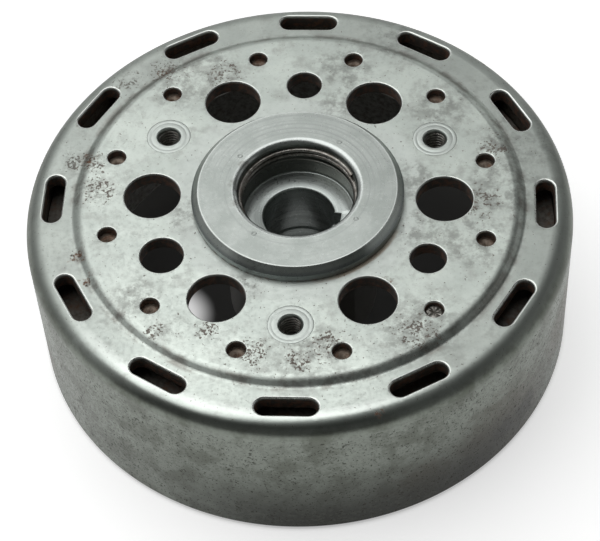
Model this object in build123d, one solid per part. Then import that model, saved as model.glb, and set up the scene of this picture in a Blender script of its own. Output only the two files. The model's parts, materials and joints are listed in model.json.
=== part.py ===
from build123d import *
import os
from math import atan2, cos, degrees, radians, sin

# Outer-rotor alternator flywheel of a small engine, in millimetres.
# The origin is the centre of the cup's open face, and +Z runs along the crankshaft axis
# towards the hub's flange. The cup stands on its open rim, web upwards.

# --- rotor cup: one pressed steel sheet, turned on the outside ---
RIM_DIAMETER = 140.0
CUP_HEIGHT = 46.0             # open face to the web's outer face
RIM_WALL = 4.4
WEB_THICKNESS = 4.0
STEP_INSET = 14.0             # rim's outside to the edge of the web's raised plateau
STEP_RUN = 1.4                # radial width of the slope off the plateau
STEP_DROP = 1.6               # plateau down to the slotted annulus
SHOULDER_RADIUS = 5.1         # outside, annulus to rim
INNER_CORNER_RADIUS = 1.0     # inside, annulus to rim
RIM_CHAMFER = 0.8

# --- openings through the web ---
POLES = 12
SLOT_INSET = 7.15             # rim's outside to the slots' centre line
SLOT_LENGTH = 15.3
SLOT_WIDTH = 4.8
LARGE_HOLES = 6
LARGE_HOLE_RING_RADIUS = 37.25
LARGE_HOLE_DIAMETER = 14.4
MIDDLE_HOLE_RING_RADIUS = 38.4
MIDDLE_HOLE_DIAMETER = 9.1
BALANCE_HOLE_DIAMETER = 11.0  # the middle hole that was opened up to balance the wheel
MIDDLE_HOLE_ANGLES = (90, 330)
BALANCE_HOLE_ANGLE = 210

# --- hub ---
FLANGE_DIAMETER = 54.1
FLANGE_HEIGHT = 4.0           # above the web
FLANGE_CHAMFER_RUN = 1.65
FLANGE_CHAMFER_DROP = 1.9
FLANGE_SEAT_WIDTH = 5.05      # flange overlap on the web, round the spigot
BOSS_STEP = 2.4               # spigot down to the boss, per side
BOSS_END_HEIGHT = 6.0         # lower end of the boss above the open face
BOSS_END_CHAMFER = 0.8
PULLER_THREAD_DIAMETER = 30.0          # M30 x 1.5
PULLER_THREAD_MINOR_DIAMETER = 28.38
PULLER_THREAD_START = 1.8     # below the flange's face
PULLER_THREAD_LENGTH = 4.4
MOUTH_ROUND = 0.9             # rounded lip between the flange's face and the thread
RELIEF_DIAMETER = 29.0        # plain wall between the thread and the nut seat
NUT_SEAT_DEPTH = 11.2         # flange face to nut seat
BORE_SMALL_DIAMETER = 17.5    # at the nut end of the taper
BORE_CHAMFER = 0.85
TAPER_RATIO = 0.2             # change of diameter per length, 1:5
BORE_RELIEF_START = 10.0      # below the chamfer
BORE_RELIEF_LENGTH = 8.0
BORE_RELIEF_DEPTH = 0.4
KEYWAY_WIDTH = 4.0
KEYWAY_DEPTH = 2.1
KEYWAY_ANGLE = -6.0

# --- threaded inserts for a puller or a starter pulley ---
INSERTS = 3
INSERT_RING_RADIUS = 40.0
INSERT_START_ANGLE = 30
INSERT_SHANK_DIAMETER = 11.4
INSERT_COLLAR_WIDTH = 1.1     # beyond the shank, per side
INSERT_COLLAR_HEIGHT = 2.5
INSERT_LENGTH = 8.0
INSERT_THREAD_MINOR_DIAMETER = 5.0     # M6
INSERT_CHAMFER = 1.3

# --- magnets and what holds them ---
MAGNET_THICKNESS = 8.8
MAGNET_GAP = 3.0              # between neighbours, at the rim
BOND_GAP = 0.2                # adhesive film round the magnets
SPACER_HEIGHT = 3.0
SPACER_CLEARANCE = 4.4        # spacer to the inside of the slotted annulus
BASKET_WALL = 0.8
BASKET_LIP_HEIGHT = 5.2       # underside of the lower lip above the open face
BASKET_FLANGE_THICKNESS = 1.0
BASKET_HOLE_CLEARANCE = 0.55  # large holes to the inner edge of the flange under the web
BASKET_BEND_RADIUS = 1.6
NOTCH_CLEARANCE = 0.5         # round each insert's collar

# --- rivets that hold the basket to the web ---
RIVET_INSET = 6.3             # basket's inside to the rivets' circle
RIVET_DIAMETER = 4.74
RIVET_RECESS = 2.4            # rivet end below the web's outer face
RIVET_HEAD_WIDTH = 1.33       # beyond the shank, per side
RIVET_HEAD_HEIGHT = 1.8
RIVET_HEAD_ROUND = 0.6

PRESS_GAP = 0.02              # per side, keeps pressed cylinders from overlapping

# --- worked out from the sizes above ---
RIM_RADIUS = RIM_DIAMETER / 2
RIM_INNER_RADIUS = RIM_RADIUS - RIM_WALL
STEP_RADIUS = RIM_RADIUS - STEP_INSET
STEP_FOOT_RADIUS = STEP_RADIUS + STEP_RUN
SLOT_RING_RADIUS = RIM_RADIUS - SLOT_INSET
WEB_TOP = CUP_HEIGHT
WEB_BOTTOM = WEB_TOP - WEB_THICKNESS
ANNULUS_TOP = WEB_TOP - STEP_DROP
ANNULUS_BOTTOM = ANNULUS_TOP - WEB_THICKNESS
FLANGE_TOP = WEB_TOP + FLANGE_HEIGHT
FLANGE_RADIUS = FLANGE_DIAMETER / 2
SPIGOT_RADIUS = FLANGE_RADIUS - FLANGE_SEAT_WIDTH
BOSS_RADIUS = SPIGOT_RADIUS - BOSS_STEP
NUT_SEAT = FLANGE_TOP - NUT_SEAT_DEPTH
TAPER_TOP = NUT_SEAT - BORE_CHAMFER
MAGNET_OUTER_RADIUS = RIM_INNER_RADIUS - BOND_GAP
MAGNET_INNER_RADIUS = MAGNET_OUTER_RADIUS - MAGNET_THICKNESS
BASKET_OUTER_RADIUS = MAGNET_INNER_RADIUS - BOND_GAP
BASKET_INNER_RADIUS = BASKET_OUTER_RADIUS - BASKET_WALL
BASKET_FLANGE_RADIUS = LARGE_HOLE_RING_RADIUS + LARGE_HOLE_DIAMETER / 2 + BASKET_HOLE_CLEARANCE
MAGNET_BOTTOM = BASKET_LIP_HEIGHT + BASKET_WALL
MAGNET_TOP = ANNULUS_BOTTOM - SPACER_CLEARANCE - SPACER_HEIGHT
RIVET_RING_RADIUS = BASKET_INNER_RADIUS - RIVET_INSET
RIVET_SEAT = WEB_BOTTOM - BASKET_FLANGE_THICKNESS
INSERT_COLLAR_RADIUS = INSERT_SHANK_DIAMETER / 2 + INSERT_COLLAR_WIDTH
POLE_ANGLE = 360 / POLES


def turned(points, rounds=()):
    """A solid of revolution about Z from an (r, z) outline, with rounded corners."""
    face = make_face(Polyline(*points, close=True))
    for corner, radius in rounds:
        vertex = face.vertices().sort_by_distance(Vector(*corner))[0]
        face = fillet(vertex, radius)
    return revolve(Plane.XZ * face, Axis.Z, 360)


def place(ring_radius, angle, height):
    """A location on a ring, with X pointing outwards."""
    x = ring_radius * cos(radians(angle))
    y = ring_radius * sin(radians(angle))
    return Pos(x, y, height) * Rot(0, 0, angle)


def drill(diameter, ring_radius, angle):
    """A cutter for a round hole through the web."""
    cutter = Cylinder(diameter / 2, 3 * WEB_THICKNESS)
    return place(ring_radius, angle, WEB_TOP - WEB_THICKNESS / 2) * cutter


def cup_blank():
    """The pressed cup before any hole is cut."""
    spigot_hole = SPIGOT_RADIUS + PRESS_GAP
    outline = [
        (spigot_hole, WEB_TOP),
        (STEP_RADIUS, WEB_TOP),
        (STEP_FOOT_RADIUS, ANNULUS_TOP),
        (RIM_RADIUS, ANNULUS_TOP),
        (RIM_RADIUS, RIM_CHAMFER),
        (RIM_RADIUS - RIM_CHAMFER, 0),
        (RIM_INNER_RADIUS, 0),
        (RIM_INNER_RADIUS, ANNULUS_BOTTOM),
        (STEP_FOOT_RADIUS, ANNULUS_BOTTOM),
        (STEP_RADIUS, WEB_BOTTOM),
        (spigot_hole, WEB_BOTTOM),
    ]
    rounds = [
        ((RIM_RADIUS, ANNULUS_TOP), SHOULDER_RADIUS),
        ((RIM_INNER_RADIUS, ANNULUS_BOTTOM), INNER_CORNER_RADIUS),
        ((STEP_RADIUS, WEB_TOP), STEP_DROP / 3),
        ((STEP_FOOT_RADIUS, ANNULUS_TOP), STEP_DROP / 2),
    ]
    return turned(outline, rounds)


def make_rotor_cup():
    """The cup with its slots, rivet holes, lightening holes and insert seats."""
    cup = cup_blank()
    slot = extrude(SlotOverall(SLOT_LENGTH, SLOT_WIDTH, rotation=90), 3 * WEB_THICKNESS)
    cutters = []
    for pole in range(POLES):
        angle = pole * POLE_ANGLE
        cutters.append(place(SLOT_RING_RADIUS, angle, ANNULUS_BOTTOM - WEB_THICKNESS) * slot)
        cutters.append(drill(RIVET_DIAMETER + 2 * PRESS_GAP, RIVET_RING_RADIUS, angle + POLE_ANGLE / 2))
    for hole in range(LARGE_HOLES):
        cutters.append(drill(LARGE_HOLE_DIAMETER, LARGE_HOLE_RING_RADIUS, hole * 360 / LARGE_HOLES))
    for angle in MIDDLE_HOLE_ANGLES:
        cutters.append(drill(MIDDLE_HOLE_DIAMETER, MIDDLE_HOLE_RING_RADIUS, angle))
    cutters.append(drill(BALANCE_HOLE_DIAMETER, MIDDLE_HOLE_RING_RADIUS, BALANCE_HOLE_ANGLE))
    for angle in insert_angles():
        cutters.append(drill(INSERT_SHANK_DIAMETER + 2 * PRESS_GAP, INSERT_RING_RADIUS, angle))
    return cup - cutters


def taper_radius(height):
    """The bore's radius at a height, larger towards the crankcase."""
    return BORE_SMALL_DIAMETER / 2 + (TAPER_TOP - height) * TAPER_RATIO / 2


def make_keyway():
    """A cutter for the keyway, which runs along the taper's wall on the +X side."""
    length = 2 * (FLANGE_TOP - BOSS_END_HEIGHT)
    slope = degrees(atan2(TAPER_RATIO / 2, 1))
    cutter = Box(taper_radius(TAPER_TOP), KEYWAY_WIDTH, length, align=(Align.MAX, Align.CENTER, Align.CENTER))
    floor = Pos(taper_radius(TAPER_TOP) + KEYWAY_DEPTH, 0, TAPER_TOP) * Rot(0, slope, 0)
    seat_side = Pos(0, 0, NUT_SEAT) * Box(
        2 * FLANGE_DIAMETER, 2 * FLANGE_DIAMETER, 2 * length, align=(Align.CENTER, Align.CENTER, Align.MIN)
    )
    return floor * cutter - seat_side


def make_hub():
    """The turned hub: flange, spigot, boss, puller thread, nut seat and tapered bore."""
    mouth_radius = PULLER_THREAD_DIAMETER / 2
    thread_radius = PULLER_THREAD_MINOR_DIAMETER / 2
    relief_radius = RELIEF_DIAMETER / 2
    bore_radius = BORE_SMALL_DIAMETER / 2
    thread_top = FLANGE_TOP - PULLER_THREAD_START
    thread_bottom = thread_top - PULLER_THREAD_LENGTH
    relief_top = TAPER_TOP - BORE_RELIEF_START
    relief_bottom = relief_top - BORE_RELIEF_LENGTH
    outline = [
        (mouth_radius, FLANGE_TOP),
        (FLANGE_RADIUS - FLANGE_CHAMFER_RUN, FLANGE_TOP),
        (FLANGE_RADIUS, FLANGE_TOP - FLANGE_CHAMFER_DROP),
        (FLANGE_RADIUS, WEB_TOP),
        (SPIGOT_RADIUS, WEB_TOP),
        (SPIGOT_RADIUS, WEB_BOTTOM),
        (BOSS_RADIUS, WEB_BOTTOM),
        (BOSS_RADIUS, BOSS_END_HEIGHT + BOSS_END_CHAMFER),
        (BOSS_RADIUS - BOSS_END_CHAMFER, BOSS_END_HEIGHT),
        (taper_radius(BOSS_END_HEIGHT), BOSS_END_HEIGHT),
        (taper_radius(relief_bottom), relief_bottom),
        (taper_radius(relief_bottom) + BORE_RELIEF_DEPTH, relief_bottom),
        (taper_radius(relief_top) + BORE_RELIEF_DEPTH, relief_top),
        (taper_radius(relief_top), relief_top),
        (bore_radius, TAPER_TOP),
        (bore_radius + BORE_CHAMFER, NUT_SEAT),
        (relief_radius, NUT_SEAT),
        (relief_radius, thread_bottom),
        (thread_radius, thread_bottom),
        (thread_radius, thread_top),
        (mouth_radius, thread_top + mouth_radius - thread_radius),
    ]
    hub = turned(outline, [((mouth_radius, FLANGE_TOP), MOUTH_ROUND)])
    return hub - Rot(0, 0, KEYWAY_ANGLE) * make_keyway()


def insert_angles():
    """The angles of the threaded inserts round the web."""
    return [INSERT_START_ANGLE + index * 360 / INSERTS for index in range(INSERTS)]


def make_insert(angle):
    """A threaded insert pressed in from inside, its collar under the web."""
    shank = INSERT_SHANK_DIAMETER / 2
    thread = INSERT_THREAD_MINOR_DIAMETER / 2
    mouth = thread + INSERT_CHAMFER
    bottom = WEB_TOP - INSERT_LENGTH
    outline = [
        (mouth, WEB_TOP),
        (shank, WEB_TOP),
        (shank, WEB_BOTTOM),
        (INSERT_COLLAR_RADIUS, WEB_BOTTOM),
        (INSERT_COLLAR_RADIUS, WEB_BOTTOM - INSERT_COLLAR_HEIGHT),
        (shank, WEB_BOTTOM - INSERT_COLLAR_HEIGHT),
        (shank, bottom),
        (mouth, bottom),
        (thread, bottom + INSERT_CHAMFER),
        (thread, WEB_TOP - INSERT_CHAMFER),
    ]
    return place(INSERT_RING_RADIUS, angle, 0) * turned(outline)


def make_magnet(index):
    """One arc magnet, centred under a slot of the web."""
    outline = Rectangle(MAGNET_THICKNESS, MAGNET_TOP - MAGNET_BOTTOM, align=(Align.MIN, Align.MIN))
    section = Plane.XZ * Pos(MAGNET_INNER_RADIUS, MAGNET_BOTTOM) * outline
    span = POLE_ANGLE - degrees(MAGNET_GAP / MAGNET_OUTER_RADIUS)
    arc = revolve(section, Axis.Z, span)
    return Rot(0, 0, index * POLE_ANGLE - span / 2) * arc


def make_spacer_ring():
    """The ring that fills the space between the basket and the rim above the magnets."""
    outline = [
        (MAGNET_INNER_RADIUS, MAGNET_TOP),
        (MAGNET_OUTER_RADIUS, MAGNET_TOP),
        (MAGNET_OUTER_RADIUS, MAGNET_TOP + SPACER_HEIGHT),
        (MAGNET_INNER_RADIUS, MAGNET_TOP + SPACER_HEIGHT),
    ]
    return turned(outline)


def make_magnet_basket():
    """The thin can over the magnets: a lip under them, a wall, and a flange on the web."""
    outline = [
        (BASKET_FLANGE_RADIUS, WEB_BOTTOM),
        (BASKET_OUTER_RADIUS, WEB_BOTTOM),
        (BASKET_OUTER_RADIUS, MAGNET_BOTTOM),
        (MAGNET_OUTER_RADIUS, MAGNET_BOTTOM),
        (MAGNET_OUTER_RADIUS, BASKET_LIP_HEIGHT),
        (BASKET_INNER_RADIUS, BASKET_LIP_HEIGHT),
        (BASKET_INNER_RADIUS, RIVET_SEAT),
        (BASKET_FLANGE_RADIUS, RIVET_SEAT),
    ]
    rounds = [
        ((BASKET_OUTER_RADIUS, WEB_BOTTOM), BASKET_BEND_RADIUS),
        ((BASKET_INNER_RADIUS, RIVET_SEAT), BASKET_BEND_RADIUS - BASKET_WALL),
        ((BASKET_INNER_RADIUS, BASKET_LIP_HEIGHT), BASKET_BEND_RADIUS),
    ]
    basket = turned(outline, rounds)
    notch = 2 * (INSERT_COLLAR_RADIUS + NOTCH_CLEARANCE)
    cutters = [drill(notch, INSERT_RING_RADIUS, angle) for angle in insert_angles()]
    for pole in range(POLES):
        angle = (pole + 0.5) * POLE_ANGLE
        cutters.append(drill(RIVET_DIAMETER + 2 * PRESS_GAP, RIVET_RING_RADIUS, angle))
    return basket - cutters


def make_basket_rivets():
    """The rivets through the basket's flange and the web, with their heads inside."""
    radius = RIVET_DIAMETER / 2
    head = radius + RIVET_HEAD_WIDTH
    outline = [
        (0, WEB_TOP - RIVET_RECESS),
        (radius, WEB_TOP - RIVET_RECESS),
        (radius, RIVET_SEAT),
        (head, RIVET_SEAT),
        (head, RIVET_SEAT - RIVET_HEAD_HEIGHT),
        (0, RIVET_SEAT - RIVET_HEAD_HEIGHT),
    ]
    rivet = turned(outline, [((head, RIVET_SEAT - RIVET_HEAD_HEIGHT), RIVET_HEAD_ROUND)])
    rivets = []
    for pole in range(POLES):
        rivets.append(place(RIVET_RING_RADIUS, (pole + 0.5) * POLE_ANGLE, 0) * rivet)
    return Compound(children=rivets)


def main():
    """Build every piece and write one STEP file for each."""
    pieces = {
        "rotor_cup": make_rotor_cup(),
        "hub": make_hub(),
        "magnet_basket": make_magnet_basket(),
        "spacer_ring": make_spacer_ring(),
        "basket_rivets": make_basket_rivets(),
    }
    for number, angle in enumerate(insert_angles(), start=1):
        pieces[f"puller_insert_{number}"] = make_insert(angle)
    for number in range(1, POLES + 1):
        pieces[f"magnet_{number:02d}"] = make_magnet(number - 1)
    os.makedirs("parts", exist_ok=True)
    for node, shape in pieces.items():
        export_step(shape, f"parts/{node}.step")


main()
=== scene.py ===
import json
import math

import bmesh
import bpy
from mathutils import Matrix, Vector
from mathutils.geometry import delaunay_2d_cdt


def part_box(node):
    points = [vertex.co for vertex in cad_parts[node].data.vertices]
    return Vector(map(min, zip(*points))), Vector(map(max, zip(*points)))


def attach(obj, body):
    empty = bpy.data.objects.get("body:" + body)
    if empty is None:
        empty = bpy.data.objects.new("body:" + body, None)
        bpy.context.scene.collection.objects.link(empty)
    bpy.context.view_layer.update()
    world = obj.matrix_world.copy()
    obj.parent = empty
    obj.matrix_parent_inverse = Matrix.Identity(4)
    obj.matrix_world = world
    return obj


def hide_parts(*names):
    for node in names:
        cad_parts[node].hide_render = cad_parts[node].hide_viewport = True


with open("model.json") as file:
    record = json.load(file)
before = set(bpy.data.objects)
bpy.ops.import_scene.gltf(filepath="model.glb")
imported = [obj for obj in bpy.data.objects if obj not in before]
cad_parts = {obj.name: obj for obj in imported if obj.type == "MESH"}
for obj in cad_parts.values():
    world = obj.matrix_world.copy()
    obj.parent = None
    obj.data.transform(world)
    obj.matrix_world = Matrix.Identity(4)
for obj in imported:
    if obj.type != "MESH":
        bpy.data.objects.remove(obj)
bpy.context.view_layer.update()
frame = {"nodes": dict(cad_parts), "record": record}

# An outer-rotor flywheel: pressed steel cup, turned hub, threaded inserts, riveted magnet basket.
# Lengths are in millimetres and become metres when a mesh is built. Z is the crankshaft's axis.

MM = 0.001
RECORD = frame["record"]


def low(node):
    """A CAD node's lowest corner, in millimetres."""
    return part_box(node)[0] / MM


def high(node):
    """A CAD node's highest corner, in millimetres."""
    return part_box(node)[1] / MM


def mount(name):
    """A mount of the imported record."""
    return next(m for m in RECORD["mounts"] if m["name"] == name)


# --- sizes taken from the frame ---
RIM_RADIUS = high("rotor_cup").x
WEB_TOP = high("rotor_cup").z
FLANGE_RADIUS = high("hub").x
FLANGE_TOP = high("hub").z
BOSS_END = low("hub").z
NUT_SEAT = mount("nut_seat")["pos_m"][2] / MM
THREAD_MINOR = mount("puller_thread")["dims"]["r_mm"]
INSERT_RING = mount("face_bolts")["dims"]["pcd_mm"] / 2
INSERT_THREAD_MINOR = mount("face_bolts")["dims"]["hole_r_mm"]
INSERT_BOTTOM = low("puller_insert_1").z
BASKET_LIP = low("magnet_basket").z
BASKET_REACH = high("magnet_basket").x
RIVET_END = high("basket_rivets").z
RIVET_HEAD = low("basket_rivets").z

# --- the cup's own sizes, and the radii of what it holds ---
WEB_THICKNESS = 4.0
RIM_WALL = 4.4
STEP_RADIUS = RIM_RADIUS - 14.0
STEP_FOOT = STEP_RADIUS + 1.6
STEP_DROP = 1.6
ANNULUS_TOP = WEB_TOP - STEP_DROP
WEB_BOTTOM = WEB_TOP - WEB_THICKNESS
ANNULUS_BOTTOM = ANNULUS_TOP - WEB_THICKNESS
SHOULDER_RADIUS = 5.1
SPIGOT_RADIUS = FLANGE_RADIUS - 5.05
BOSS_RADIUS = SPIGOT_RADIUS - 2.4
MAGNET_INNER = high("spacer_ring").x - 8.8
POLES = 12
SLOT_RING, SLOT_RADIUS, SLOT_HALF = RIM_RADIUS - 7.15, 2.4, 5.25
LARGE_RING, LARGE_RADIUS = 37.25, 7.2
MIDDLE_RING, MIDDLE_RADIUS, WIDER_RADIUS = 38.4, 4.55, 5.5
RIVET_RING = 49.3
RIVET_RADIUS = 2.37
INSERT_SHANK = 5.7
INSERT_TURNS = (30, 150, 270)


# ---------------------------------------------------------------- outlines and skins

def polar(radius, angle):
    """A point on a circle, angle in radians."""
    return (radius * math.cos(angle), radius * math.sin(angle))


def circle(radius, count, centre=(0, 0)):
    """Points spaced evenly round a circle."""
    turns = (polar(radius, 2 * math.pi * step / count) for step in range(count))
    return [(centre[0] + x, centre[1] + y) for x, y in turns]


def rounded(points, radii, steps=6):
    """An open outline with arcs at some corners: radii gives the radius for a point's number."""
    path = []
    for number, point in enumerate(points):
        radius = radii.get(number, 0)
        if not radius:
            path.append(tuple(point))
            continue
        corner = Vector(point)
        back = (Vector(points[number - 1]) - corner).normalized()
        ahead = (Vector(points[number + 1]) - corner).normalized()
        half = back.angle(ahead) / 2
        centre = corner + (back + ahead).normalized() * (radius / math.sin(half))
        start = corner + back * (radius / math.tan(half)) - centre
        end = corner + ahead * (radius / math.tan(half)) - centre
        first = math.atan2(start.y, start.x)
        sweep = math.remainder(math.atan2(end.y, end.x) - first, 2 * math.pi)
        for step in range(steps + 1):
            x, y = polar(radius, first + sweep * step / steps)
            path.append((centre.x + x, centre.y + y))
    return path


def spread(first, last, count):
    """Evenly spaced numbers from first to last."""
    return [first + (last - first) * step / (count - 1) for step in range(count)]


class Skin:
    """Gathers points, faces and two painted values, worn edge and hole wall, for one mesh."""

    def __init__(self):
        self.points = []
        self.faces = []
        self.worn = []
        self.wall = []

    def add(self, points, worn=0.0, wall=0.0):
        """Adds points and returns their numbers."""
        first = len(self.points)
        self.points.extend(points)
        self.worn.extend([worn] * len(points))
        self.wall.extend([wall] * len(points))
        return list(range(first, len(self.points)))

    def bridge(self, one, other):
        """Joins two loops of equal length with four-sided faces."""
        for i in range(len(one)):
            j = (i + 1) % len(one)
            self.faces.append((one[i], one[j], other[j], other[i]))

    def join(self, rings, closed=True):
        """Joins rings in turn, and the last to the first where the outline is closed."""
        following = rings[1:] + (rings[:1] if closed else [])
        for one, other in zip(rings, following):
            self.bridge(one, other)

    def build(self, name, material):
        """Makes the object, in metres, with faces turned outwards."""
        mesh = bpy.data.meshes.new(name)
        scaled = [(x * MM, y * MM, z * MM) for x, y, z in self.points]
        mesh.from_pydata(scaled, [], self.faces)
        for label, values in (("worn_edge", self.worn), ("hole_wall", self.wall)):
            mesh.attributes.new(label, "FLOAT", "POINT").data.foreach_set("value", values)
        return finish_mesh(name, mesh, material)


def finish_mesh(name, mesh, material):
    """Turns faces outwards, shades them smooth and links the object."""
    shape = bmesh.new()
    shape.from_mesh(mesh)
    bmesh.ops.remove_doubles(shape, verts=shape.verts, dist=1e-7)
    bmesh.ops.dissolve_degenerate(shape, edges=shape.edges, dist=1e-7)
    bmesh.ops.recalc_face_normals(shape, faces=shape.faces)
    shape.to_mesh(mesh)
    shape.free()
    mesh.shade_smooth()
    mesh.materials.append(material)
    piece = bpy.data.objects.new(name, mesh)
    bpy.context.scene.collection.objects.link(piece)
    return piece


def weigh_normals(piece):
    """Keeps flat faces flat beside their small rounded edges."""
    piece.modifiers.new("flat faces", "WEIGHTED_NORMAL").weight = 80
    graph = bpy.context.evaluated_depsgraph_get()
    plain = bpy.data.meshes.new_from_object(piece.evaluated_get(graph))
    piece.modifiers.clear()
    piece.data = plain
    return piece


def lathe(skin, outline, count, centre=(0, 0), closed=True):
    """Turns an outline about an upright axis and returns its rings."""
    rings = [skin.add([(x, y, height) for x, y in circle(radius, count, centre)])
             for radius, height in outline]
    skin.join(rings, closed)
    return rings


# ---------------------------------------------------------------- the pressed cup

def hole(ring, degrees, radius, lip, half_length=0.0):
    """A hole through the web: round, or a tangential slot with a straight part."""
    angle = math.radians(degrees)
    x, y = polar(ring, angle)
    return {"x": x, "y": y, "angle": angle, "radius": radius, "lip": lip, "half": half_length}


def web_holes():
    """Every hole in the cup's web."""
    holes = []
    for pole in range(POLES):
        angle = pole * 360 / POLES
        holes.append(hole(SLOT_RING, angle, SLOT_RADIUS, 0.6, SLOT_HALF))
        holes.append(hole(RIVET_RING, angle + 180 / POLES, RIVET_RADIUS + 0.02, 0.3))
    for angle in range(0, 360, 60):
        holes.append(hole(LARGE_RING, angle, LARGE_RADIUS, 0.35))
    for angle, radius in ((90, MIDDLE_RADIUS), (330, MIDDLE_RADIUS), (210, WIDER_RADIUS)):
        holes.append(hole(MIDDLE_RING, angle, radius, 0.3))
    for angle in INSERT_TURNS:
        holes.append(hole(INSERT_RING, angle, INSERT_SHANK + 0.01, 0.03))
    return holes


def hole_loop(item, offset, straight_steps=8):
    """Points round a hole, moved outwards by offset."""
    radius, half = item["radius"] + offset, item["half"]
    arc_steps = 14 if half else 28
    local = []
    for side in (1, -1):
        for step in range(arc_steps + 1):
            x, y = polar(radius, math.pi * (step / arc_steps + (side < 0)))
            local.append((x, y + side * half))
        if half:
            local.extend((-side * radius, side * half * (1 - 2 * step / straight_steps))
                         for step in range(1, straight_steps))
        else:
            local.pop()
    cos, sin = math.cos(item["angle"]), math.sin(item["angle"])
    return [(item["x"] + x * cos - y * sin, item["y"] + x * sin + y * cos) for x, y in local]


def distance_to_hole(item, x, y):
    """Distance from a point to a hole's edge, negative inside."""
    cos, sin = math.cos(item["angle"]), math.sin(item["angle"])
    across = (x - item["x"]) * cos + (y - item["y"]) * sin
    along = (y - item["y"]) * cos - (x - item["x"]) * sin
    return math.hypot(across, max(abs(along) - item["half"], 0)) - item["radius"]


def height_on(path, radius):
    """The height of an outline at a radius, where the outline runs outwards."""
    for (r1, z1), (r2, z2) in zip(path, path[1:]):
        if r1 <= radius <= r2 and r2 > r1:
            return z1 + (z2 - z1) * (radius - r1) / (r2 - r1)
    return path[-1][1] if radius > path[-1][0] else path[0][1]


def holed_disc(skin, path, rings, holes, offset_name):
    """A disc with holes whose height follows path. rings lists (radius, points round it), and
    offset_name is the hole's own value for how far its loop stands outside its edge.
    Returns the inner loop, the outer loop and one loop for each hole."""
    flat, edges, loops = [], [], []

    def closed_loop(points):
        first = len(flat)
        flat.extend(Vector(p) for p in points)
        numbers = list(range(first, len(flat)))
        edges.extend(zip(numbers, numbers[1:] + numbers[:1]))
        loops.append(numbers)

    for radius, count in (rings[0], rings[-1]):
        closed_loop(circle(radius, count))
    for item in holes:
        closed_loop(hole_loop(item, item[offset_name]))
    for radius, count in rings[1:-1]:
        for k in range(count):
            point = polar(radius, 2 * math.pi * (k + 0.5 * (radius < 50)) / count)
            if all(distance_to_hole(h, *point) > h[offset_name] + 0.3 for h in holes):
                flat.append(Vector(point))
    verts, _, faces, origin, _, _ = delaunay_2d_cdt(flat, edges, [], 0, 1e-7)
    placed = skin.add([(v.x, v.y, height_on(path, v.length)) for v in verts])
    number_of = {first: placed[i] for i, source in enumerate(origin) for first in source}
    # faces inside the inner ring, or with every corner on one hole's loop, are left out
    owner = {number: which for which, loop in enumerate(loops[2:]) for number in loop}
    for face in faces:
        middle = sum((verts[i] for i in face), Vector((0, 0))) / len(face)
        owners = {owner.get(first) for i in face for first in origin[i]}
        one_hole = len(owners) == 1 and None not in owners
        if middle.length >= rings[0][0] and not one_hole:
            skin.faces.append(tuple(placed[i] for i in face))
    return [[number_of[n] for n in loop] for loop in loops]


def make_cup(material):
    """The pressed cup: stepped web with every hole, rounded shoulder, rim and inside."""
    outside = rounded(
        [(SPIGOT_RADIUS + 0.02, WEB_TOP), (STEP_RADIUS - 0.4, WEB_TOP), (STEP_FOOT, ANNULUS_TOP),
         (RIM_RADIUS, ANNULUS_TOP), (RIM_RADIUS, 0.8), (RIM_RADIUS - 0.8, 0)],
        {1: 3.2, 2: 1.6, 3: SHOULDER_RADIUS, 4: 0.5}, 14)
    inside = rounded(
        [(RIM_RADIUS - RIM_WALL, 0), (RIM_RADIUS - RIM_WALL, ANNULUS_BOTTOM),
         (STEP_FOOT, ANNULUS_BOTTOM), (STEP_RADIUS - 0.4, WEB_BOTTOM), (SPIGOT_RADIUS + 0.02, WEB_BOTTOM)],
        {1: 1.0}, 6)
    holes = web_holes()
    for item in holes:
        item["burr"] = 0.0 if item["half"] else 0.15
    skin = Skin()
    top_edge, under_edge = RIM_RADIUS - 3.4, RIM_RADIUS - RIM_WALL - 0.12
    top_path = [p for p in outside if p[1] > ANNULUS_TOP - SHOULDER_RADIUS * 0.9]
    top = holed_disc(skin, top_path, disc_rings(top_path, top_edge), holes, "lip")
    under_path = sorted(p for p in inside if p[1] > ANNULUS_BOTTOM - 0.9)
    under = holed_disc(skin, under_path, disc_rings(under_path, under_edge), holes, "burr")
    rim = [p for p in outside + inside
           if p[1] < height_on(top_path, top_edge) - 1e-6 and p[0] > under_edge + 1e-6]
    rings = lathe(skin, rim, len(top[1]), closed=False)
    skin.bridge(top[1], rings[0])
    skin.bridge(rings[-1], under[1])
    skin.bridge(top[0], under[0])
    for item, upper, lower in zip(holes, top[2:], under[2:]):
        line_hole(skin, item, top_path, under_path, upper, lower)
    return weigh_normals(skin.build("pressed_cup", material))


def disc_rings(path, outer):
    """Rings of points for a disc: coarse on the flat, fine where the outline bends."""
    inner = path[0][0]
    rings = [(inner, 120)]
    rings += [(radius, 120) for radius in spread(inner + 2.5, STEP_RADIUS - 2.5, 11)]
    bends = sorted({round(r, 4) for r, _ in path if STEP_RADIUS - 2 < r < outer - 0.2})
    flats = spread(STEP_FOOT + 1.2, outer - 1.9, 4)
    rings += [(radius, 360) for radius in sorted(bends + flats)]
    return rings + [(outer, 360)]


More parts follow.
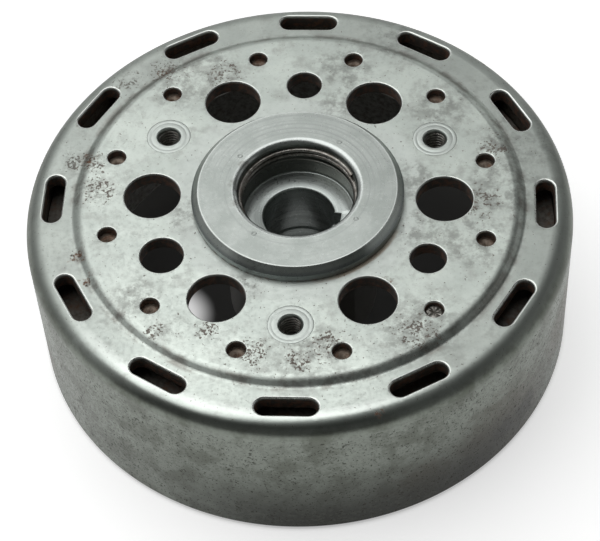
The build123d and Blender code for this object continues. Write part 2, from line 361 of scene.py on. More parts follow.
def line_hole(skin, item, top_path, under_path, upper, lower):
    """The rounded mouth, wall and lower edge of one hole."""
    lip, burr, mouth_steps = item["lip"], item["burr"], 5
    rings = [upper]

    def add_ring(offset, height_at, **paint):
        loop = [(x, y, height_at(math.hypot(x, y))) for x, y in hole_loop(item, offset)]
        rings.append(skin.add(loop, **paint))

    for step in range(1, mouth_steps + 1):
        turn = math.pi / 2 * step / mouth_steps
        drop = lip * (1 - math.cos(turn))
        add_ring(lip * (1 - math.sin(turn)), lambda radius: height_on(top_path, radius) - drop,
                 worn=1.0 if step < mouth_steps else 0.5)
    for share in (0.12, 0.5, 0.9, 1.0) if burr else (0.12, 0.5, 0.9):
        add_ring(0, lambda radius: (height_on(top_path, radius) - lip) * (1 - share)
                 + (height_on(under_path, radius) + burr) * share, wall=1.0)
    skin.join(rings + [lower], closed=False)


# ---------------------------------------------------------------- the turned hub

BORE_SMALL = 8.75
BORE_CHAMFER = 0.85
TAPER = 0.1
KEY_HALF = 2.0
KEY_DEPTH = 2.1
KEY_ANGLE = math.radians(-6)
TAPER_TOP = NUT_SEAT - BORE_CHAMFER
SEAT_RADIUS = 14.5
THREAD_TOP = FLANGE_TOP - 1.8
THREAD_LENGTH = mount("puller_thread")["dims"]["length_mm"]
THREAD_BOTTOM = THREAD_TOP - THREAD_LENGTH
THREAD_BED = THREAD_MINOR + 0.81
THREAD_PITCH = 1.5
FLANGE_FACE = 25.4
PUNCH_RING = 18.2


def bore_radius(height):
    """The taper's radius at a height."""
    return BORE_SMALL + (TAPER_TOP - height) * TAPER


def hub_ring(skin, radius, height, key_floor, count=240, key_steps=6):
    """One ring of the hub, with the keyway's notch where key_floor is given."""
    mouth = math.asin(KEY_HALF / (radius if key_floor else BORE_SMALL + BORE_CHAMFER))
    loop = []
    for step in range(count + 1):
        angle = mouth + (2 * math.pi - 2 * mouth) * step / count
        loop.append((*polar(radius, angle + KEY_ANGLE), height))
    corner = math.atan2(KEY_HALF, BORE_SMALL + KEY_DEPTH)
    for step in range(key_steps + 1):
        share = 1 - 2 * step / key_steps
        if key_floor:
            reach = math.hypot(key_floor, KEY_HALF * share)
            angle = KEY_ANGLE - math.atan2(KEY_HALF * share, key_floor)
        else:
            reach, angle = radius, KEY_ANGLE - corner * share
        loop.append((*polar(reach, angle), height))
    return skin.add(loop)


def make_hub(material):
    """The hub: bore with keyway, nut seat, relief, thread bed, flange, spigot and boss."""
    relief_top, relief_bottom, relief = TAPER_TOP - 10.0, TAPER_TOP - 18.0, 0.4
    bore = [
        (bore_radius(BOSS_END), BOSS_END), (bore_radius(relief_bottom), relief_bottom),
        (bore_radius(relief_bottom) + relief, relief_bottom + 0.3),
        (bore_radius(relief_top) + relief, relief_top - 0.3),
        (bore_radius(relief_top), relief_top), (BORE_SMALL, TAPER_TOP),
        (BORE_SMALL + BORE_CHAMFER, NUT_SEAT),
    ]
    body = rounded(
        [(BORE_SMALL + BORE_CHAMFER, NUT_SEAT), (SEAT_RADIUS, NUT_SEAT),
         (SEAT_RADIUS, THREAD_BOTTOM - 0.25), (THREAD_BED, THREAD_BOTTOM),
         (THREAD_BED, FLANGE_TOP), (FLANGE_FACE, FLANGE_TOP),
         (FLANGE_RADIUS, FLANGE_TOP - 1.9), (FLANGE_RADIUS, WEB_TOP), (SPIGOT_RADIUS, WEB_TOP),
         (SPIGOT_RADIUS, WEB_BOTTOM), (BOSS_RADIUS, WEB_BOTTOM), (BOSS_RADIUS, BOSS_END + 0.8),
         (BOSS_RADIUS - 0.8, BOSS_END)],
        {1: 0.4, 2: 0.1, 4: 1.6, 5: 0.25, 6: 0.3, 7: 0.15, 10: 0.4, 11: 0.2}, 6)
    skin = Skin()
    rings = [hub_ring(skin, radius, height, bore_radius(min(height, TAPER_TOP)) + KEY_DEPTH)
             for radius, height in bore]
    rings += [hub_ring(skin, radius, height, None) for radius, height in body[1:]]
    skin.join(rings)
    return weigh_normals(skin.build("turned_hub", material))


# ---------------------------------------------------------------- geometry node trees

def node_tree(name, inputs):
    """A geometry node tree with named inputs and one geometry output."""
    tree = bpy.data.node_groups.new(name, "GeometryNodeTree")
    for label, kind in inputs:
        tree.interface.new_socket(name=label, in_out="INPUT", socket_type=kind)
    tree.interface.new_socket(name="Geometry", in_out="OUTPUT", socket_type="NodeSocketGeometry")
    return tree


def wire(tree, kind, settings=None, **inputs):
    """Adds a node, sets its properties, and feeds its inputs with values or sockets."""
    node = tree.nodes.new(kind)
    for label, value in (settings or {}).items():
        setattr(node, label, value)
    for label, value in inputs.items():
        feed(tree, node.inputs[label.replace("_", " ")], value)
    return node


def feed(tree, socket, value):
    """Links a socket, or sets a plain value."""
    if isinstance(value, bpy.types.NodeSocket):
        tree.links.new(value, socket)
    else:
        socket.default_value = value


def arithmetic(tree, operation, *values):
    """A math node's result."""
    node = tree.nodes.new("ShaderNodeMath")
    node.operation = operation
    for socket, value in zip(node.inputs, values):
        feed(tree, socket, value)
    return node.outputs[0]


def thread_tree():
    """A right-handed thread ridge: a trapezoid swept along a spiral."""
    tree = node_tree("thread ridge", [
        ("Root Radius", "NodeSocketFloat"), ("Depth", "NodeSocketFloat"),
        ("Pitch", "NodeSocketFloat"), ("Turns", "NodeSocketFloat"),
        ("Centre", "NodeSocketVector"), ("Material", "NodeSocketMaterial")])
    given = tree.nodes.new("NodeGroupInput").outputs
    rise = arithmetic(tree, "MULTIPLY", given["Pitch"], given["Turns"])
    spiral = wire(tree, "GeometryNodeCurveSpiral", Resolution=96, Rotations=given["Turns"],
                  Start_Radius=given["Root Radius"], End_Radius=given["Root Radius"], Height=rise)
    half_foot, half_crest, sunk_share = 0.46, 0.07, -0.4
    foot = arithmetic(tree, "MULTIPLY", given["Pitch"], half_foot)
    crest = arithmetic(tree, "MULTIPLY", given["Pitch"], half_crest)
    sunk = arithmetic(tree, "MULTIPLY", given["Depth"], sunk_share)
    corners = []
    for inward, reach, sign in ((sunk, foot, 1), (given["Depth"], crest, 1),
                                (given["Depth"], crest, -1), (sunk, foot, -1)):
        along = arithmetic(tree, "MULTIPLY", reach, sign)
        corners.append(wire(tree, "ShaderNodeCombineXYZ", X=inward, Y=along).outputs[0])
    profile = wire(tree, "GeometryNodeCurvePrimitiveQuadrilateral", {"mode": "POINTS"},
                   Point_1=corners[0], Point_2=corners[1], Point_3=corners[2], Point_4=corners[3])
    upright = wire(tree, "GeometryNodeSetCurveNormal", {"mode": "Z_UP"}, Curve=spiral.outputs[0])
    ridge = wire(tree, "GeometryNodeCurveToMesh", Curve=upright.outputs[0],
                 Profile_Curve=profile.outputs[0], Fill_Caps=True)
    placed = wire(tree, "GeometryNodeTransform", Geometry=ridge.outputs[0],
                  Translation=given["Centre"])
    return close_tree(tree, placed.outputs[0], given["Material"])


def ring_tree():
    """A part repeated round the axis: the part is modelled at angle zero."""
    tree = node_tree("ring of parts", [
        ("Part", "NodeSocketObject"), ("Count", "NodeSocketInt"),
        ("Start Angle", "NodeSocketFloat"), ("Material", "NodeSocketMaterial")])
    given = tree.nodes.new("NodeGroupInput").outputs
    part = wire(tree, "GeometryNodeObjectInfo", Object=given["Part"])
    points = wire(tree, "GeometryNodePoints", Count=given["Count"])
    index = tree.nodes.new("GeometryNodeInputIndex").outputs[0]
    step = arithmetic(tree, "DIVIDE", 2 * math.pi, given["Count"])
    angle = arithmetic(tree, "MULTIPLY_ADD", index, step, given["Start Angle"])
    turn = wire(tree, "ShaderNodeCombineXYZ", Z=angle)
    spun = wire(tree, "GeometryNodeInstanceOnPoints", Points=points.outputs[0],
                Instance=part.outputs["Geometry"], Rotation=turn.outputs[0])
    return close_tree(tree, spun.outputs[0], given["Material"])


def close_tree(tree, geometry, material):
    """Ends a tree in real geometry with its material."""
    real = wire(tree, "GeometryNodeRealizeInstances", Geometry=geometry)
    painted = wire(tree, "GeometryNodeSetMaterial", Geometry=real.outputs[0], Material=material)
    output = tree.nodes.new("NodeGroupOutput")
    tree.links.new(painted.outputs[0], output.inputs[0])
    return tree


def grow(name, tree, material, **values):
    """Runs a geometry node tree and keeps its result as a plain mesh."""
    host = bpy.data.objects.new(name + " host", bpy.data.meshes.new(name + " host"))
    bpy.context.scene.collection.objects.link(host)
    modifier = host.modifiers.new("grow", "NODES")
    modifier.node_group = tree
    values["Material"] = material
    for item in tree.interface.items_tree:
        if item.in_out == "INPUT" and item.name.replace(" ", "_") in values:
            modifier[item.identifier] = values[item.name.replace(" ", "_")]
    graph = bpy.context.evaluated_depsgraph_get()
    mesh = bpy.data.meshes.new_from_object(host.evaluated_get(graph))
    bpy.data.objects.remove(host)
    mesh.materials.clear()
    return finish_mesh(name, mesh, material)


def make_thread(name, material, root, minor, pitch, bottom, length, centre=(0, 0)):
    """A helical thread inside a bore, between two heights."""
    place = Vector((centre[0], centre[1], bottom + pitch / 2)) * MM
    return grow(name, THREAD_RIDGE, material, Root_Radius=root * MM, Depth=(root - minor) * MM,
                Pitch=pitch * MM, Turns=(length - pitch) / pitch, Centre=place)


# ---------------------------------------------------------------- inserts, basket and rivets

def make_insert(number, material):
    """One threaded insert, flush with the web, with a fine groove in its face and a seam round it."""
    centre = (low(f"puller_insert_{number}") + high(f"puller_insert_{number}")) / 2
    bed, pitch, collar, collar_end = INSERT_THREAD_MINOR + 0.5, 1.0, 6.8, WEB_BOTTOM - 2.5
    outline = rounded(
        [(bed, INSERT_BOTTOM + 0.9), (bed, WEB_TOP - 0.9),
         (INSERT_THREAD_MINOR + 0.12, WEB_TOP - 0.6), (INSERT_THREAD_MINOR + 0.75, WEB_TOP),
         (4.6, WEB_TOP), (4.68, WEB_TOP - 0.02), (4.76, WEB_TOP),
         (5.6, WEB_TOP), (INSERT_SHANK, WEB_TOP - 0.03),
         (INSERT_SHANK, WEB_BOTTOM), (collar, WEB_BOTTOM), (collar, collar_end),
         (INSERT_SHANK, collar_end), (INSERT_SHANK, INSERT_BOTTOM), (3.9, INSERT_BOTTOM)],
        {3: 0.12, 11: 0.3, 13: 0.3}, 4)
    skin = Skin()
    lathe(skin, outline, 72, centre)
    piece = weigh_normals(skin.build(f"threaded_insert_{number}", material))
    thread = make_thread(f"insert_thread_{number}", material, bed, INSERT_THREAD_MINOR, pitch,
                         INSERT_BOTTOM + 0.4, WEB_TOP - 0.9 - INSERT_BOTTOM, centre)
    return [piece, thread]


def make_basket(material):
    """The thin can over the magnets, crimped a little between them and notched at the inserts."""
    wall, count, edge = 0.8, 720, 45.0
    inner, outer = MAGNET_INNER - 1.0, MAGNET_INNER - 0.2
    outline = rounded(
        [(edge, WEB_BOTTOM), (outer, WEB_BOTTOM), (outer, BASKET_LIP + wall),
         (BASKET_REACH, BASKET_LIP + wall), (BASKET_REACH, BASKET_LIP), (inner, BASKET_LIP),
         (inner, WEB_BOTTOM - 1.0), (edge, WEB_BOTTOM - 1.0)],
        {1: 1.6, 5: 1.6, 6: 0.8}, 6)
    skin = Skin()
    rings = []
    for radius, height in outline:
        loop = []
        for step in range(count):
            angle = 2 * math.pi * step / count
            loop.append((*polar(basket_radius(radius, height, angle, edge), angle), height))
        rings.append(skin.add(loop))
    skin.join(rings)
    return weigh_normals(skin.build("magnet_can", material))


def basket_radius(radius, height, angle, edge):
    """The can's radius at an angle, with crimps in its wall and notches in its flange."""
    notch, crimp, crimp_half_width = 7.3, 0.45, 0.9
    if radius < edge + 0.01:
        for turn in INSERT_TURNS:
            away = math.remainder(angle - math.radians(turn), 2 * math.pi)
            reach = notch ** 2 - (INSERT_RING * math.sin(away)) ** 2
            if reach > 0 and math.cos(away) > 0:
                return max(radius, INSERT_RING * math.cos(away) + math.sqrt(reach))
        return radius
    if radius > MAGNET_INNER or not BASKET_LIP + 2 < height < WEB_BOTTOM - 2.5:
        return radius
    pitch = 2 * math.pi / POLES
    away = math.remainder(angle - pitch / 2, pitch) * radius
    return radius + crimp * math.exp(-(away / crimp_half_width) ** 2)


def make_rivets(material):
    """The rivets of the basket, repeated round the web."""
    head_radius = RIVET_RADIUS + 1.33
    outline = rounded(
        [(0.01, RIVET_END - 0.25), (RIVET_RADIUS * 0.7, RIVET_END - 0.2), (RIVET_RADIUS, RIVET_END),
         (RIVET_RADIUS, WEB_BOTTOM - 1.0), (head_radius, WEB_BOTTOM - 1.0),
         (head_radius, RIVET_HEAD), (0.01, RIVET_HEAD)],
        {5: 0.6}, 5)
    skin = Skin()
    lathe(skin, outline, 40, (RIVET_RING, 0))
    part = skin.build("one rivet", material)
    rivets = grow("can_rivets", RING_OF_PARTS, material, Part=part, Count=POLES,
                  Start_Angle=math.pi / POLES)
    bpy.data.objects.remove(part)
    return rivets


def make_restruck_end(material):
    """The one rivet end that was struck again: a rough star a little below the web."""
    centre = polar(RIVET_RING, math.radians(-45))
    count, reach, top, foot = 60, 2.3, WEB_TOP - 1.3, RIVET_END - 0.4
    skin = Skin()
    rings = []
    for radius in (0.02, 0.3, 0.6, 0.95, 1.3, 1.65, 2.0, reach):
        loop = []
        for step, (x, y) in enumerate(circle(radius, count, centre)):
            turn = 2 * math.pi * step / count
            star = 0.5 + 0.5 * math.cos(5 * turn + 0.8 * math.sin(2 * turn))
            ridge = 0.55 * star * math.exp(-((radius - 1.1) / 0.7) ** 2)
            rough = 0.08 * math.sin(11 * turn + 3 * radius) * radius / reach
            loop.append((x, y, top + ridge + rough - 0.35 * (radius == reach)))
        rings.append(skin.add(loop))
    for radius in (reach, 0.02):
        rings.append(skin.add([(x, y, foot) for x, y in circle(radius, count, centre)]))
    skin.join(rings)
    return skin.build("restruck_rivet_end", material)


# ---------------------------------------------------------------- shader groups

def shader_group(name, inputs, outputs):
    """A shader group with named inputs and outputs; returns it, its inputs and its output node."""
    tree = bpy.data.node_groups.new(name, "ShaderNodeTree")
    for label, kind, value in inputs:
        socket = tree.interface.new_socket(name=label, in_out="INPUT", socket_type="NodeSocket" + kind)
        if value is not None:
            socket.default_value = value
    for label, kind in outputs:
        tree.interface.new_socket(name=label, in_out="OUTPUT", socket_type="NodeSocket" + kind)
    given = tree.nodes.new("NodeGroupInput").outputs
    return tree, given, tree.nodes.new("NodeGroupOutput")


def use(tree, group, **inputs):
    """Places a shader group and returns its outputs."""
    node = tree.nodes.new("ShaderNodeGroup")
    node.node_tree = group
    for label, value in inputs.items():
        feed(tree, node.inputs[label.replace("_", " ")], value)
    return node.outputs


def vector_math(tree, operation, *values):
    """A vector math node's outputs."""
    node = tree.nodes.new("ShaderNodeVectorMath")
    node.operation = operation
    for socket, value in zip(node.inputs, values):
        feed(tree, socket, value)
    return node.outputs


def noise(tree, place, scale, detail=4.0, rough=0.6):
    """Noise from 0 to 1. A larger scale makes smaller lumps."""
    node = wire(tree, "ShaderNodeTexNoise", Vector=place, Scale=scale, Detail=detail, Roughness=rough)
    return node.outputs[0]


def ramp(tree, value, start, end, first=0.0, last=1.0):
    """Moves a value smoothly from first to last as it goes from start to end."""
    node = wire(tree, "ShaderNodeMapRange", {"interpolation_type": "SMOOTHSTEP"}, Value=value,
                From_Min=start, From_Max=end, To_Min=first, To_Max=last)
    return node.outputs[0]


def patches(tree, place, scale, detail, rough, start, end, last=1.0):
    """Soft patches from 0 to last, where the noise rises from start to end."""
    return ramp(tree, noise(tree, place, scale, detail, rough), start, end, 0.0, last)


def blend(tree, factor, one, other):
    """One colour or the other, by a factor. A colour is a socket or its red, green and blue."""
    node = tree.nodes.new("ShaderNodeMix")
    node.data_type = "RGBA"
    for slot, value in ((0, factor), (6, one), (7, other)):
        feed(tree, node.inputs[slot], (*value, 1) if isinstance(value, tuple) else value)
    return node.outputs[2]


def tint(tree, colour, mask, tone, share=None):
    """Lays a tone over a colour by a mask, at a share of the mask's strength where one is given."""
    return blend(tree, mask if share is None else both(tree, mask, share), colour, tone)


def both(tree, *masks):
    """The product of several masks or numbers."""
    total = masks[0]
    for mask in masks[1:]:
        total = arithmetic(tree, "MULTIPLY", total, mask)
    return total


def either(tree, *masks):
    """The largest of several masks or numbers."""
    total = masks[0]
    for mask in masks[1:]:
        total = arithmetic(tree, "MAXIMUM", total, mask)
    return total


def inverse(tree, mask):
    """One minus a mask."""
    return arithmetic(tree, "SUBTRACT", 1.0, mask)


def plus(tree, value, mask, share):
    """A value with a share of a mask added to it."""
    return arithmetic(tree, "MULTIPLY_ADD", mask, share, value)


def outward(tree, place):
    """The level part of a place, and its length."""
    flat = vector_math(tree, "MULTIPLY", place, (1, 1, 0))[0]
    return flat, vector_math(tree, "LENGTH", flat)["Value"]


def turning_group():
    """Fine rings left by turning, round a centre on a flat and along the axis on a wall."""
    tree, given, output = shader_group(
        "turning marks",
        [("Place", "Vector", None), ("Centre", "Vector", None), ("Spacing", "Float", 0.4)],
        [("Value", "Float")])
    away = vector_math(tree, "SUBTRACT", given["Place"], given["Centre"])[0]
    flat, radius = outward(tree, away)
    height = wire(tree, "ShaderNodeSeparateXYZ", Vector=away).outputs[2]
    rings = wire(tree, "ShaderNodeCombineXYZ", X=arithmetic(tree, "DIVIDE", radius, given["Spacing"]),
                 Y=arithmetic(tree, "DIVIDE", height, given["Spacing"])).outputs[0]
    drift = vector_math(tree, "SCALE", vector_math(tree, "NORMALIZE", flat)[0])[0]
    feed(tree, drift.node.inputs["Scale"], 0.35)
    where = vector_math(tree, "ADD", rings, drift)[0]
    tree.links.new(noise(tree, where, 0.5, 3.0, 0.75), output.inputs[0])
    return tree


def pitting_group():
    """Small pits: more of them as Amount goes from 0 to 1."""
    tree, given, output = shader_group(
        "pitting", [("Place", "Vector", None), ("Size", "Float", 1.0), ("Amount", "Float", 0.3)],
        [("Mask", "Float")])
    scale = arithmetic(tree, "DIVIDE", 1.0, given["Size"])
    grain = noise(tree, given["Place"], scale, 2.5, 0.55)
    gate = plus(tree, 0.745, given["Amount"], -0.24)
    above = arithmetic(tree, "SUBTRACT", grain, gate)
    tree.links.new(ramp(tree, above, 0.0, 0.05), output.inputs[0])
    return tree


def spot_group():
    """A ragged spot round a point."""
    tree, given, output = shader_group(
        "ragged spot",
        [("Place", "Vector", None), ("Centre", "Vector", None), ("Radius", "Float", 4.0),
         ("Ragged", "Float", 3.0)],
        [("Mask", "Float")])
    apart = vector_math(tree, "DISTANCE", given["Place"], given["Centre"])["Value"]
    uneven = arithmetic(tree, "SUBTRACT", noise(tree, given["Place"], 0.45, 4.0, 0.6), 0.5)
    reach = plus(tree, apart, both(tree, uneven, 2.0), given["Ragged"])
    share = arithmetic(tree, "DIVIDE", reach, given["Radius"])
    tree.links.new(ramp(tree, share, 1.0, 0.35), output.inputs[0])
    return tree


def band_group():
    """A soft ring of a given radius and width round an upright axis."""
    tree, given, output = shader_group(
        "soft ring",
        [("Place", "Vector", None), ("Centre", "Vector", None), ("Radius", "Float", 30.0),
         ("Width", "Float", 2.0)],
        [("Mask", "Float")])
    away = vector_math(tree, "SUBTRACT", given["Place"], given["Centre"])[0]
    radius = outward(tree, away)[1]
    off = arithmetic(tree, "ABSOLUTE", arithmetic(tree, "SUBTRACT", radius, given["Radius"]))
    share = arithmetic(tree, "DIVIDE", off, given["Width"])
    tree.links.new(ramp(tree, share, 0.5, 0.2), output.inputs[0])
    return tree


def rust_group():
    """Rust that changes between brown and orange from place to place."""
    tree, given, output = shader_group(
        "rust colour", [("Place", "Vector", None)], [("Color", "Color")])
    patch = patches(tree, given["Place"], 0.8, 4.0, 0.65, 0.35, 0.68)
    colour = blend(tree, patch, (0.055, 0.028, 0.015), (0.25, 0.095, 0.036))
    tree.links.new(colour, output.inputs[0])
    return tree


# ---------------------------------------------------------------- materials

def surface(name, **constants):
    """A material with its Principled shader and its place in millimetres."""
    material = bpy.data.materials.new(name)
    material.use_nodes = True
    tree = material.node_tree
    shader = tree.nodes["Principled BSDF"]
    for label, value in constants.items():
        shader.inputs[label.replace("_", " ")].default_value = value
    coordinates = tree.nodes.new("ShaderNodeTexCoord").outputs["Object"]
    place = vector_math(tree, "MULTIPLY", coordinates, (1 / MM, 1 / MM, 1 / MM))[0]
    return material, tree, shader, place


def bumps(tree, shader, *layers):
    """Bump layers on a shader: (height from 0 to 1, depth in millimetres)."""
    normal = None
    for height, depth in layers:
        node = wire(tree, "ShaderNodeBump", Height=height, Distance=depth * MM, Strength=1.0)
        if normal:
            tree.links.new(normal, node.inputs["Normal"])
        normal = node.outputs[0]
    tree.links.new(normal, shader.inputs["Normal"])


def split(tree, place):
    """Distance from the crankshaft's axis and height, in millimetres."""
    return outward(tree, place)[1], wire(tree, "ShaderNodeSeparateXYZ", Vector=place).outputs[2]


def painted(tree, label):
    """A value that a Skin painted on its points."""
    return wire(tree, "ShaderNodeAttribute", {"attribute_name": label}).outputs["Fac"]


def at(radius, degrees, height):
    """A point by its distance from the axis, its angle and its height."""
    return (*polar(radius, math.radians(degrees)), height)


def soft_ring(tree, place, radius, width):
    """A soft ring round the crankshaft's axis."""
    return use(tree, BAND, Place=place, Centre=(0, 0, 0), Radius=radius, Width=width)[0]


def stain_and_shade_spots(tree, place, *spots):
    """Ragged spots, for stains and for painted shade masks, each as (radius, angle, height, size,
    raggedness).
    """
    return either(tree, *(
        use(tree, SPOT, Place=place, Centre=at(radius, angle, height), Radius=size, Ragged=ragged)[0]
        for radius, angle, height, size, ragged in spots))


def web_tone(tree, place, grain, polished):
    """The web's steel: pale and clouded, polished round the hub, tarnished in patches."""
    cloud = patches(tree, place, 0.07, 5.0, 0.6, 0.36, 0.66)
    colour = blend(tree, cloud, (0.60, 0.655, 0.61), (0.70, 0.76, 0.705))
    stretched = vector_math(tree, "MULTIPLY", place, (1, 1, 0.3))[0]
    streak = patches(tree, stretched, 0.16, 6.0, 0.7, 0.48, 0.70)
    colour = tint(tree, colour, streak, (0.42, 0.44, 0.41), 0.7)
    colour = tint(tree, colour, ramp(tree, grain, 0.50, 0.75, 0.0, 0.35), (0.42, 0.45, 0.42))
    colour = tint(tree, colour, polished, (0.82, 0.87, 0.83), 0.6)
    tarnish = stain_and_shade_spots(
        tree, place,
        (28.5, -167, WEB_TOP, 8.0, 5.0), (31.0, -112, WEB_TOP, 6.5, 3.0),
        (52.1, -52, WEB_TOP, 15.0, 8.0), (34.9, 72, WEB_TOP, 10.0, 6.0),
        (34.0, -17, WEB_TOP, 11.0, 6.0), (31.0, 11, WEB_TOP, 9.0, 6.0),
        (51.0, 126, WEB_TOP, 17.0, 9.0), (46.0, 77, WEB_TOP, 12.0, 8.0),
        (54.4, 5, WEB_TOP, 16.0, 9.0), (62.0, 66, ANNULUS_TOP, 14.0, 9.0),
        (46.0, -17, WEB_TOP, 13.0, 8.0), (48.0, -85, WEB_TOP, 13.0, 8.0),
        (62.0, 20, ANNULUS_TOP, 16.0, 9.0), (47.0, 40, WEB_TOP, 12.0, 9.0),
        (50.0, -140, WEB_TOP, 8.0, 7.0), (50.3, -124, WEB_TOP, 6.0, 5.0),
        (57.4, -138, WEB_TOP, 5.5, 4.5))
    tarnish = both(tree, tarnish, patches(tree, place, 0.3, 6.0, 0.72, 0.40, 0.62))
    return tint(tree, colour, tarnish, (0.255, 0.264, 0.245), 0.7)


def web_pits(tree, place, colour):
    """Fine dark pits over the web, thicker in a few clusters; returns the colour and the pits."""
    clusters = stain_and_shade_spots(
        tree, place,
        (50.9, 178, WEB_TOP, 6.0, 4.0), (54.7, 169, WEB_TOP, 5.0, 4.0),
        (49.0, -100, WEB_TOP, 6.0, 4.0), (50.6, -87, WEB_TOP, 5.0, 4.0),
        (47.0, -78, WEB_TOP, 6.0, 5.0), (51.8, -53, WEB_TOP, 8.0, 5.0),
        (46.2, -1, WEB_TOP, 7.0, 5.0), (57.0, 130, ANNULUS_TOP, 7.0, 5.0),
        (62.4, 139, ANNULUS_TOP, 6.0, 4.0), (59.6, 168, ANNULUS_TOP, 5.0, 3.0),
        (53.0, 20, WEB_TOP, 6.0, 5.0), (47.0, 118, WEB_TOP, 7.0, 5.0),
        (46.7, -116, WEB_TOP, 4.5, 4.0), (54.0, -128, WEB_TOP, 3.8, 3.5))
    halo = both(tree, clusters, patches(tree, place, 0.5, 6.0, 0.7, 0.44, 0.62))
    colour = tint(tree, colour, halo, (0.20, 0.195, 0.178), 0.55)
    patchy = patches(tree, place, 0.22, 4.0, 0.6, 0.30, 0.55)
    amount = plus(tree, 0.30, both(tree, clusters, patchy), 0.72)
    pits = use(tree, PITTING, Place=place, Size=0.68, Amount=amount)[0]
    return tint(tree, colour, pits, (0.21, 0.16, 0.135), 0.75), pits


def annulus_tone(tree, place, radius, colour, front):
    """The step's dirt and the annulus: painted shade that greys it behind and darkens the shoulder, and a
    painted highlight line in front.
    """
    away = inverse(tree, front)
    crease = both(tree, soft_ring(tree, place, STEP_RADIUS + 1.2, 4.0),
                  patches(tree, place, 0.13, 5.0, 0.65, 0.44, 0.62))
    colour = tint(tree, colour, crease, (0.17, 0.14, 0.12), 0.6)
    brown_line = both(tree, soft_ring(tree, place, FLANGE_RADIUS + 0.05, 2.6),
                      stain_and_shade_spots(tree, place, (26.9, -50, WEB_TOP, 17.0, 5.0)))
    colour = tint(tree, colour, brown_line, (0.36, 0.24, 0.14), 0.65)
    # painted shade: the web and annulus greyer away from the front, and greyer still outwards
    shade_grey = (0.30, 0.32, 0.30)
    colour = tint(tree, colour, away, shade_grey, 0.13)
    outer = both(tree, ramp(tree, radius, STEP_RADIUS, STEP_RADIUS + 3.0, 0.0, 0.42), away)
    colour = tint(tree, colour, outer, shade_grey)
    # painted shade on the shoulder's outer edge away from the front, and a painted dark reflection on the
    # shoulder in front
    edge = either(tree, both(tree, ramp(tree, radius, 65.5, 69.0, 0.0, 0.65), away),
                  both(tree, ramp(tree, radius, 66.8, 68.3, 0.0, 0.7), front))
    colour = tint(tree, colour, edge, (0.14, 0.15, 0.135))
    # painted highlight: a glint along the start of the shoulder in front
    painted_glint = both(tree, soft_ring(tree, place, 65.2, 3.4), front)
    return tint(tree, colour, painted_glint, (0.93, 0.97, 0.93), 0.35)


def side_tone(tree, place, height, grain, speckle):
    """The side: darker, with pits that thicken below the shoulder, blotches and stains towards one side,
    and painted shade that deepens towards the open edge, most on the front.
    """
    blotch = patches(tree, place, 0.11, 6.0, 0.65, 0.42, 0.64)
    tone = blend(tree, blotch, (0.20, 0.22, 0.193), (0.12, 0.131, 0.11))
    brown = stain_and_shade_spots(tree, place, (RIM_RADIUS, -41, 8.0, 26.0, 12.0), (RIM_RADIUS, -15, 20.0, 16.0, 10.0),
                   (RIM_RADIUS, -62, 10.0, 12.0, 8.0), (RIM_RADIUS, 200, 12.0, 9.0, 6.0))
    tone = tint(tree, tone, brown, (0.085, 0.075, 0.055), 0.75)
    black = stain_and_shade_spots(tree, place, (RIM_RADIUS, -34, 9.0, 7.0, 6.0), (RIM_RADIUS, -41, 10.0, 6.5, 6.0),
                   (RIM_RADIUS, -52, 3.0, 8.0, 6.0))
    tone = tint(tree, tone, black, (0.02, 0.019, 0.016), 0.8)
    # painted shade: the side darkens towards the open edge, most on the front
    near_front = either(tree, stain_and_shade_spots(tree, place, (RIM_RADIUS, -70, 8.0, 75.0, 12.0)), 0.25)
    low_shade = both(tree, ramp(tree, height, 34.0, 3.0), near_front)
    tone = tint(tree, tone, low_shade, (0.016, 0.0165, 0.014), 0.95)
    tone = tint(tree, tone, ramp(tree, grain, 0.42, 0.7, 0.0, 0.4), (0.10, 0.105, 0.09))
    return tint(tree, tone, speckle, (0.05, 0.048, 0.04), 0.7)


